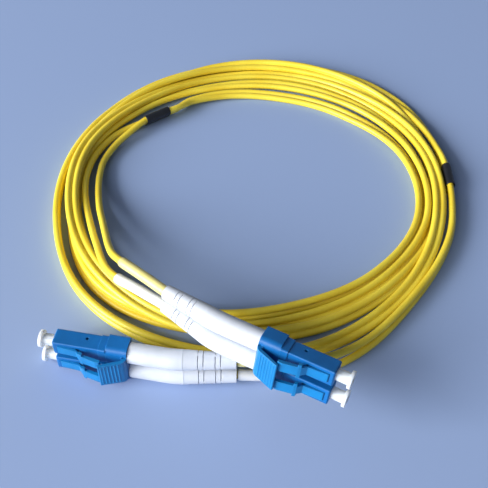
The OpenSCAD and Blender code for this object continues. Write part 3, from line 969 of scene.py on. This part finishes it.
@dataclass
class SplitBand:
    """Black shrink tube that stops the zip cord from splitting further."""

    end: str
    middle: tuple[float, float, float]
    heading: tuple[float, float, float]
    bank: float
    length: float = 8.5
    width: float = 4.8
    thickness: float = 2.8
    wall: float = 0.3
    rim: float = 0.1
    facets: int = 36
    # Where the tube is cut to wrinkle, as shares of its length from the middle
    cuts: tuple[float, ...] = (-0.42, -0.3, -0.12, 0.08, 0.24, 0.36)
    # Cuts that shrank more or less than the rest, and by what factor
    wrinkles: tuple[tuple[float, float], ...] = (
        (-0.3, 0.985), (-0.12, 1.012), (0.08, 0.98), (0.24, 1.01),
    )
    # Half the width of the valley between the strands, and how far it sinks
    valley: float = 0.5
    sink: float = 0.93

    def shape(self) -> bpy.types.Object:
        """Shapes the band upright at the origin, as shrunk over two strands.

        Returns:
            The band, with its length along z.
        """
        start_clean()
        bpy.ops.mesh.primitive_cylinder_add(
            vertices=self.facets,
            radius=self.thickness / 2 * MM,
            depth=self.length * MM,
        )
        made = bpy.context.object
        made.name = f"shrink_band_{self.end}"
        spread = (self.width - self.thickness) / 2 * MM
        bpy.ops.object.mode_set(mode="EDIT")
        for side in (1, -1):
            self.pick(made, lambda co: co.x * side > NEAR_AXIS)
            bpy.ops.transform.translate(value=(side * spread, 0, 0))
        bpy.ops.mesh.select_mode(type="FACE")
        self.pick_ends(made)
        bpy.ops.mesh.inset(thickness=self.wall * MM)
        bpy.ops.mesh.bridge_edge_loops()
        for share in self.cuts:
            bpy.ops.mesh.select_all(action="SELECT")
            bpy.ops.mesh.bisect(
                plane_co=(0, 0, share * self.length * MM), plane_no=(0, 0, 1)
            )
        bpy.ops.mesh.select_mode(type="VERT")
        for share, grow in self.wrinkles:
            level = share * self.length * MM
            self.pick(made, lambda co: abs(co.z - level) < NEAR_CUT)
            bpy.ops.transform.resize(value=(grow, grow, 1))
        self.pick(made, lambda co: abs(co.x) < self.valley * MM)
        bpy.ops.transform.resize(value=(1, self.sink, 1))
        bpy.ops.object.mode_set(mode="OBJECT")
        rim = made.modifiers.new("rim", "BEVEL")
        rim.width, rim.segments = self.rim * MM, 3
        rim.angle_limit = math.radians(50)
        bpy.ops.object.modifier_apply(modifier="rim")
        smooth(made, 40)
        return made

    def stand(self) -> Matrix:
        """Gives the turn and the shift that bring the band round its cord."""
        along = Vector(self.heading).normalized()
        side = along.cross(Vector((0, 0, 1))).normalized()
        up = side.cross(along)
        tilt = math.radians(self.bank)
        wide = side * math.cos(tilt) + up * math.sin(tilt)
        turn = Matrix((wide, along.cross(wide), along)).transposed().to_4x4()
        turn.translation = Vector(self.middle) * MM
        return turn

    def build(self, finish: bpy.types.Material) -> bpy.types.Object:
        """Puts the shaped band round its cord and dresses it.

        Args:
            finish: The band's material.

        Returns:
            The band.
        """
        made = self.shape()
        made.data.transform(self.stand())
        made.data.materials.clear()
        made.data.materials.append(finish)
        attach(made, ROOT)
        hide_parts(f"split_band_{self.end}")
        LOG.info("split band %s", self.end)
        return made

    @staticmethod
    def pick(made: bpy.types.Object, test: Callable[[Vector], bool]) -> None:
        """Selects the vertices that pass a test, in edit mode.

        Args:
            made: The object being edited.
            test: Takes a vertex's place and says whether to select it.
        """
        form = bmesh.from_edit_mesh(made.data)
        for vertex in form.verts:
            vertex.select = bool(test(vertex.co))
        form.select_flush(True)
        form.select_flush(False)
        bmesh.update_edit_mesh(made.data)

    @staticmethod
    def pick_ends(made: bpy.types.Object) -> None:
        """Selects the two flat end faces, in edit mode."""
        form = bmesh.from_edit_mesh(made.data)
        for face in form.faces:
            face.select = abs(face.normal.z) > END_FACE
        bmesh.update_edit_mesh(made.data)


# ---------------------------------------------------------------- the connectors
@dataclass
class Connectors:
    """The rigid nodes of both duplex connectors, each given its real finish."""

    finishes: Finishes
    # Points of the wire closer than this are one
    weld: float = 0.001
    dress: dict[str, str] = field(
        default_factory=lambda: {
            "plug": "blue",
            "clip": "blue",
            # The trigger and latch take the lighter blue, which is painted light
            "trigger": "blue_arm_painted_light",
            "latch": "blue_arm_painted_light",
            "ferrule_seat": "nickel",
            "ferrule": "zirconia",
            "back_body": "nickel",
            "crimp": "nickel",
            "spring": "steel",
            "boot": "boot",
            "cap": "cap",
        }
    )

    def build(self) -> None:
        """Sets each node's material by the longest name that fits it."""
        for name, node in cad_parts.items():
            kinds = [k for k in self.dress if name.startswith(k + "_")]
            if not kinds:
                continue
            finish = getattr(self.finishes, self.dress[max(kinds, key=len)])
            node.data.materials.clear()
            node.data.materials.append(finish)
            LOG.info("%s: %s", name, finish.name)

    def build_spring(self, end: str, number: int) -> bpy.types.Object:
        """Copies a spring's wire, merges its doubled points and shades it smooth.

        Args:
            end: The connector, a or b.
            number: The plug that the spring sits in.

        Returns:
            The spring.
        """
        name = f"spring_{end}_{number}"
        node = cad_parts[name]
        mesh = node.data.copy()
        form = bmesh.new()
        form.from_mesh(mesh)
        bmesh.ops.remove_doubles(form, verts=form.verts, dist=self.weld * MM)
        form.to_mesh(mesh)
        form.free()
        made = bpy.data.objects.new(f"wire_{name}", mesh)
        bpy.context.scene.collection.objects.link(made)
        smooth(made, 40)
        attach(made, ROOT)
        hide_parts(name)
        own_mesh(made)
        return made


# ---------------------------------------------------------------- stage
@dataclass
class Stage:
    """Floor, lamps and camera. Floor and lamps are in metres and watts."""

    floor_colour: str = "#97ACD4"
    floor_size: float = 3.0
    key_place: tuple[float, float, float] = (-2.24, -0.85, 0.85)
    key_size: float = 1.7
    key_power: float = 137.0
    fill_place: tuple[float, float, float] = (-1.05, -1.84, 1.36)
    fill_size: float = 1.53
    fill_power: float = 23.0
    sky_colour: str = "#D2E1FA"
    sky_power: float = 0.13
    backdrop: str = "#B4C3E0"
    # Share of the backdrop that glossy surfaces mirror
    mirrored: float = 0.35
    # How far in front of the coil's middle the lamps aim, in millimetres
    aim: float = 20.0
    lens: float = 62.7
    camera_place: tuple[float, float, float] = (12.64, -113.95, 183.62)
    camera_tilt: float = 41.0
    sensor: float = 36.0

    def camera(self) -> None:
        """Sets the camera where the cord is seen from above and in front."""
        data = bpy.data.cameras.new("camera")
        data.lens = self.lens
        data.sensor_width = self.sensor
        data.clip_start = 0.01
        made = bpy.data.objects.new("camera", data)
        made.location = Vector(self.camera_place) * MM
        made.rotation_euler = (math.radians(self.camera_tilt), 0, 0)
        bpy.context.scene.collection.objects.link(made)
        bpy.context.scene.camera = made

    def lamp(
        self, name: str, place: tuple[float, float, float], size: float, power: float
    ) -> None:
        """Adds a square soft lamp aimed at the coil.

        Args:
            name: Lamp name.
            place: Where it stands, in metres from the point that it aims at.
            size: Width of the square, in metres.
            power: Watts.
        """
        data = bpy.data.lights.new(name, "AREA")
        data.shape = "SQUARE"
        data.size = size
        data.energy = power
        made = bpy.data.objects.new(name, data)
        target = Vector((COIL_MIDDLE[0], COIL_MIDDLE[1] - self.aim, 0)) * MM
        made.location = target + Vector(place)
        made.rotation_euler = (-Vector(place)).to_track_quat("-Z", "Y").to_euler()
        bpy.context.scene.collection.objects.link(made)

    def floor(self) -> None:
        """Lays the plain pale floor."""
        start_clean()
        bpy.ops.mesh.primitive_grid_add(
            x_subdivisions=4, y_subdivisions=4, size=self.floor_size
        )
        made = bpy.context.object
        made.name = "floor"
        finish = Finish(
            "matt_studio_floor", self.floor_colour, self.floor_colour, gloss=0.9,
            spread=0.05, mottle=300.0, grain=2.0, depth=0.01, ior=1.25,
        ).material()
        made.data.materials.append(finish)

    def light(self) -> None:
        """Sets the soft lamps, and a sky that lights little but looks pale."""
        world = bpy.data.worlds.new("studio_sky")
        bpy.context.scene.world = world
        world.use_nodes = True
        tree = world.node_tree
        tree.nodes.clear()
        sky = add_node(
            tree,
            "ShaderNodeBackground",
            {"Color": linear(self.sky_colour), "Strength": self.sky_power},
        )
        backdrop = add_node(
            tree,
            "ShaderNodeBackground",
            {"Color": linear(self.backdrop), "Strength": 1.0},
        )
        rays = add_node(tree, "ShaderNodeLightPath")
        # Straight and clear rays see the backdrop, mirrored ones a share of it
        direct = add_node(
            tree,
            "ShaderNodeMath",
            links={
                0: rays.outputs["Is Camera Ray"],
                1: rays.outputs["Is Transmission Ray"],
            },
            operation="MAXIMUM",
        )
        in_gloss = add_node(
            tree,
            "ShaderNodeMix",
            {"A": 0.0, "B": self.mirrored},
            {"Factor": rays.outputs["Is Glossy Ray"]},
        )
        share = add_node(
            tree,
            "ShaderNodeMath",
            links={0: direct.outputs[0], 1: in_gloss.outputs[0]},
            operation="MAXIMUM",
        )
        mixed = add_node(
            tree,
            "ShaderNodeMixShader",
            links={0: share.outputs[0], 1: sky.outputs[0], 2: backdrop.outputs[0]},
        )
        add_node(tree, "ShaderNodeOutputWorld", links={"Surface": mixed.outputs[0]})
        self.lamp("key", self.key_place, self.key_size, self.key_power)
        self.lamp("fill", self.fill_place, self.fill_size, self.fill_power)

    def set_view(self) -> None:
        """Keeps colours as they are written."""
        bpy.context.scene.view_settings.view_transform = "Standard"


# The centre line of each leg from its crimp to its split band, in millimetres
LEG_A1 = (
    (11.14, 1.36, 20.14), (9.31, 2.28, 20.21), (4.2, 5.45, 20.13), (-1.0, 9.33, 19.73),
    (-6.23, 13.25, 19.33), (-10.27, 16.89, 18.89), (-14.32, 20.53, 18.44),
    (-18.36, 24.17, 17.9), (-21.3, 28.2, 16.2), (-23.3, 33.7, 13.3),
    (-25.0, 39.8, 10.4), (-26.8, 46.5, 7.8), (-29.1, 55.2, 5.1), (-30.6, 63.8, 3.3),
    (-31.2, 71.2, 2.4), (-30.6, 78.3, 2.0), (-27.7, 85.0, 2.3), (-23.7, 90.3, 2.9),
    (-19.06, 95.26, 3.62), (-15.4, 97.7, 3.62),
)
LEG_A2 = (
    (10.36, 0.3, 14.03), (8.53, 1.22, 14.1), (3.47, 4.44, 14.36), (-1.64, 8.45, 14.69),
    (-6.78, 12.5, 15.02), (-11.11, 15.72, 14.7), (-15.43, 18.95, 14.36),
    (-19.76, 22.17, 13.8), (-23.1, 26.4, 12.3), (-25.5, 32.0, 10.3),
    (-27.6, 38.3, 8.2), (-29.7, 44.7, 6.3), (-31.5, 50.7, 4.9), (-33.3, 57.1, 3.9),
    (-34.6, 64.1, 3.5), (-34.9, 70.5, 3.2), (-33.9, 77.8, 2.8), (-31.2, 85.05, 2.3),
    (-26.9, 91.2, 1.96), (-19.75, 96.29, 1.98), (-16.09, 98.73, 1.98),
)
LEG_B1 = (
    (-9.12, 1.29, 2.89), (-7.1, 0.9, 2.89), (-2.16, 0.37, 2.89), (4.33, 0.21, 2.89),
    (10.88, 0.05, 2.89), (14.99, 0.15, 2.55), (19.09, 0.35, 2.15), (23.2, 0.7, 1.75),
    (29.8, 1.9, 1.2), (37.6, 4.9, 1), (46.6, 11.3, 1), (55.9, 21.5, 1),
    (65.3, 34.5, 1), (71.6, 47.2, 1), (74.3, 59.4, 1.2), (74.34, 69.97, 1.42),
)
LEG_B2 = (
    (-9.12, 1.29, 9.14), (-7.1, 0.9, 9.14), (-2.16, 0.37, 9.14), (4.33, 0.21, 9.14),
    (10.88, 0.05, 9.14), (14.95, 0.25, 8.7), (19.03, 0.6, 8.15), (23.1, 1.15, 7.45),
    (29.5, 2.8, 5.6), (37.0, 6.0, 3.7), (45.9, 12.0, 2.85), (55.5, 21.8, 2.95),
    (65.2, 34.55, 3.02), (71.4, 47.3, 3.03), (73.8, 59.6, 3.2), (74.34, 69.97, 3.48),
)


def main() -> None:
    """Builds the cord, its stage and its light."""
    logging.basicConfig(level=logging.INFO, format="%(message)s")
    stage = Stage()
    stage.camera()
    finishes = Finishes()
    legs = (
        Leg("a", 1, LEG_A1, "pale"),
        Leg("a", 2, LEG_A2, "white"),
        Leg("b", 1, LEG_B1, "white"),
        Leg("b", 2, LEG_B2, "pale"),
    )
    DuplexRun().build(finishes.jacket, [leg.line() for leg in legs])
    for leg in legs:
        leg.build(finishes.jacket)
        leg.build_sleeve(getattr(finishes, f"{leg.sleeve_finish}_sleeve"))
    SplitBand("a", (-15.66, 98.27, 2.8), (0.8321, 0.5547, 0.0), 53).build(finishes.band)
    SplitBand("b", (74.34, 70.07, 2.45), (0.0, 1.0, 0.0), 90).build(finishes.band)
    connectors = Connectors(finishes)
    connectors.build()
    for end in "ab":
        for number in (1, 2):
            connectors.build_spring(end, number)
    stage.floor()
    stage.light()
    stage.set_view()


if __name__ == "__main__":
    main()
